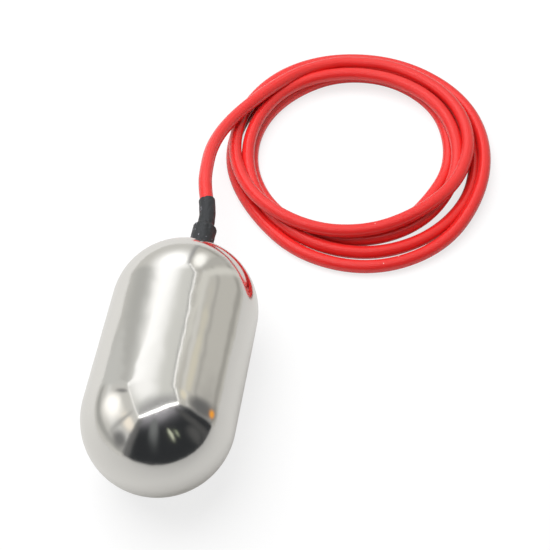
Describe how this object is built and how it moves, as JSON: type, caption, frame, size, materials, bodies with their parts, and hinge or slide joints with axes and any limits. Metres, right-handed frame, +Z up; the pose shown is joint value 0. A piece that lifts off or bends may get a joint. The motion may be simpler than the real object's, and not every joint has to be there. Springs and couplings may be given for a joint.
{
  "type": "float level switch",
  "caption": "Polished capsule float switch with a domed end on each side, a black shrink sleeve at one pole and a loosely coiled round cable.",
  "frame": {"origin": "on the floor under the middle of the capsule, which lies on its side", "axes": "+Y along the capsule towards the cable, +Z up, +X to the right seen along the cable with Z up"},
  "size_m": [0.1782, 0.3027, 0.07],
  "materials": {
    "polished_stainless": "polished stainless steel, faintly brushed",
    "plain_stainless": "turned stainless steel",
    "zinc_steel": "zinc plated steel",
    "spring_steel": "spring steel",
    "ball_steel": "ground and polished ball",
    "red_jacket": "satin-gloss silicone jacket",
    "black_sleeve": "matte shrunk polyolefin",
    "black_rubber": "matte rubber",
    "white_plastic": "natural moulded plastic",
    "black_plastic": "moulded thermoset",
    "red_plastic": "moulded plastic",
    "tab_brass": "plain brass",
    "tinned_copper": "tinned copper strand",
    "core_black": "core insulation",
    "core_blue": "core insulation",
    "core_brown": "core insulation"
  },
  "bodies": {
    "float": {"blind_end_shell": "polished_stainless", "cable_coil": "red_jacket", "cable_end_shell": "polished_stainless", "cable_jacket_end": "red_jacket", "cable_lead": "red_jacket", "cable_nipple": "plain_stainless", "carrier_lock_screws": "zinc_steel", "centring_disc": "white_plastic", "core_black": "core_black", "core_blue": "core_blue", "core_brown": "core_brown", "gland_screw": "plain_stainless", "gland_washer": "plain_stainless", "heat_shrink_sleeve": "black_sleeve", "lead_end_black": "core_black", "lead_end_blue": "core_blue", "lead_end_brown": "core_brown", "lever_pin": "spring_steel", "pull_stop_ring": "plain_stainless", "retaining_clip": "spring_steel", "seal_bush": "black_rubber", "stop_pad": "black_rubber", "switch_carrier": "white_plastic", "switch_case": "black_plastic", "switch_cover": "black_plastic", "switch_nuts": "zinc_steel", "switch_screws": "zinc_steel", "terminal_common": "tab_brass", "terminal_normally_closed": "tab_brass", "terminal_normally_open": "tab_brass", "tinned_tips": "tinned_copper", "tube_end_cap": "white_plastic", "weld_backing_ring": "plain_stainless"},
    "ball": {"steel_ball": "ball_steel"},
    "lever": {"switch_lever": "spring_steel"},
    "plunger": {"switch_plunger": "red_plastic"}
  },
  "joints": [
    {"name": "ball_roll", "type": "slide", "parent": "float", "child": "ball", "axis": [0, 1, 0], "range_m": [0, 0.024]},
    {"name": "lever_press", "type": "hinge", "parent": "float", "child": "lever", "pos_m": [0, 0.0068, 0.024], "axis": [-1, 0, 0], "range_deg": [0, 13], "stiffness_Nm_per_rad": 0.0108, "springref_deg": -8.59},
    {"name": "plunger_press", "type": "slide", "parent": "float", "child": "plunger", "axis": [0, 1, 0], "range_m": [0, 0.0014]}
  ],
  "couplings": [
    {"joint": "plunger_press", "follows": "lever_press", "m_per_rad": 0.006}
  ]
}
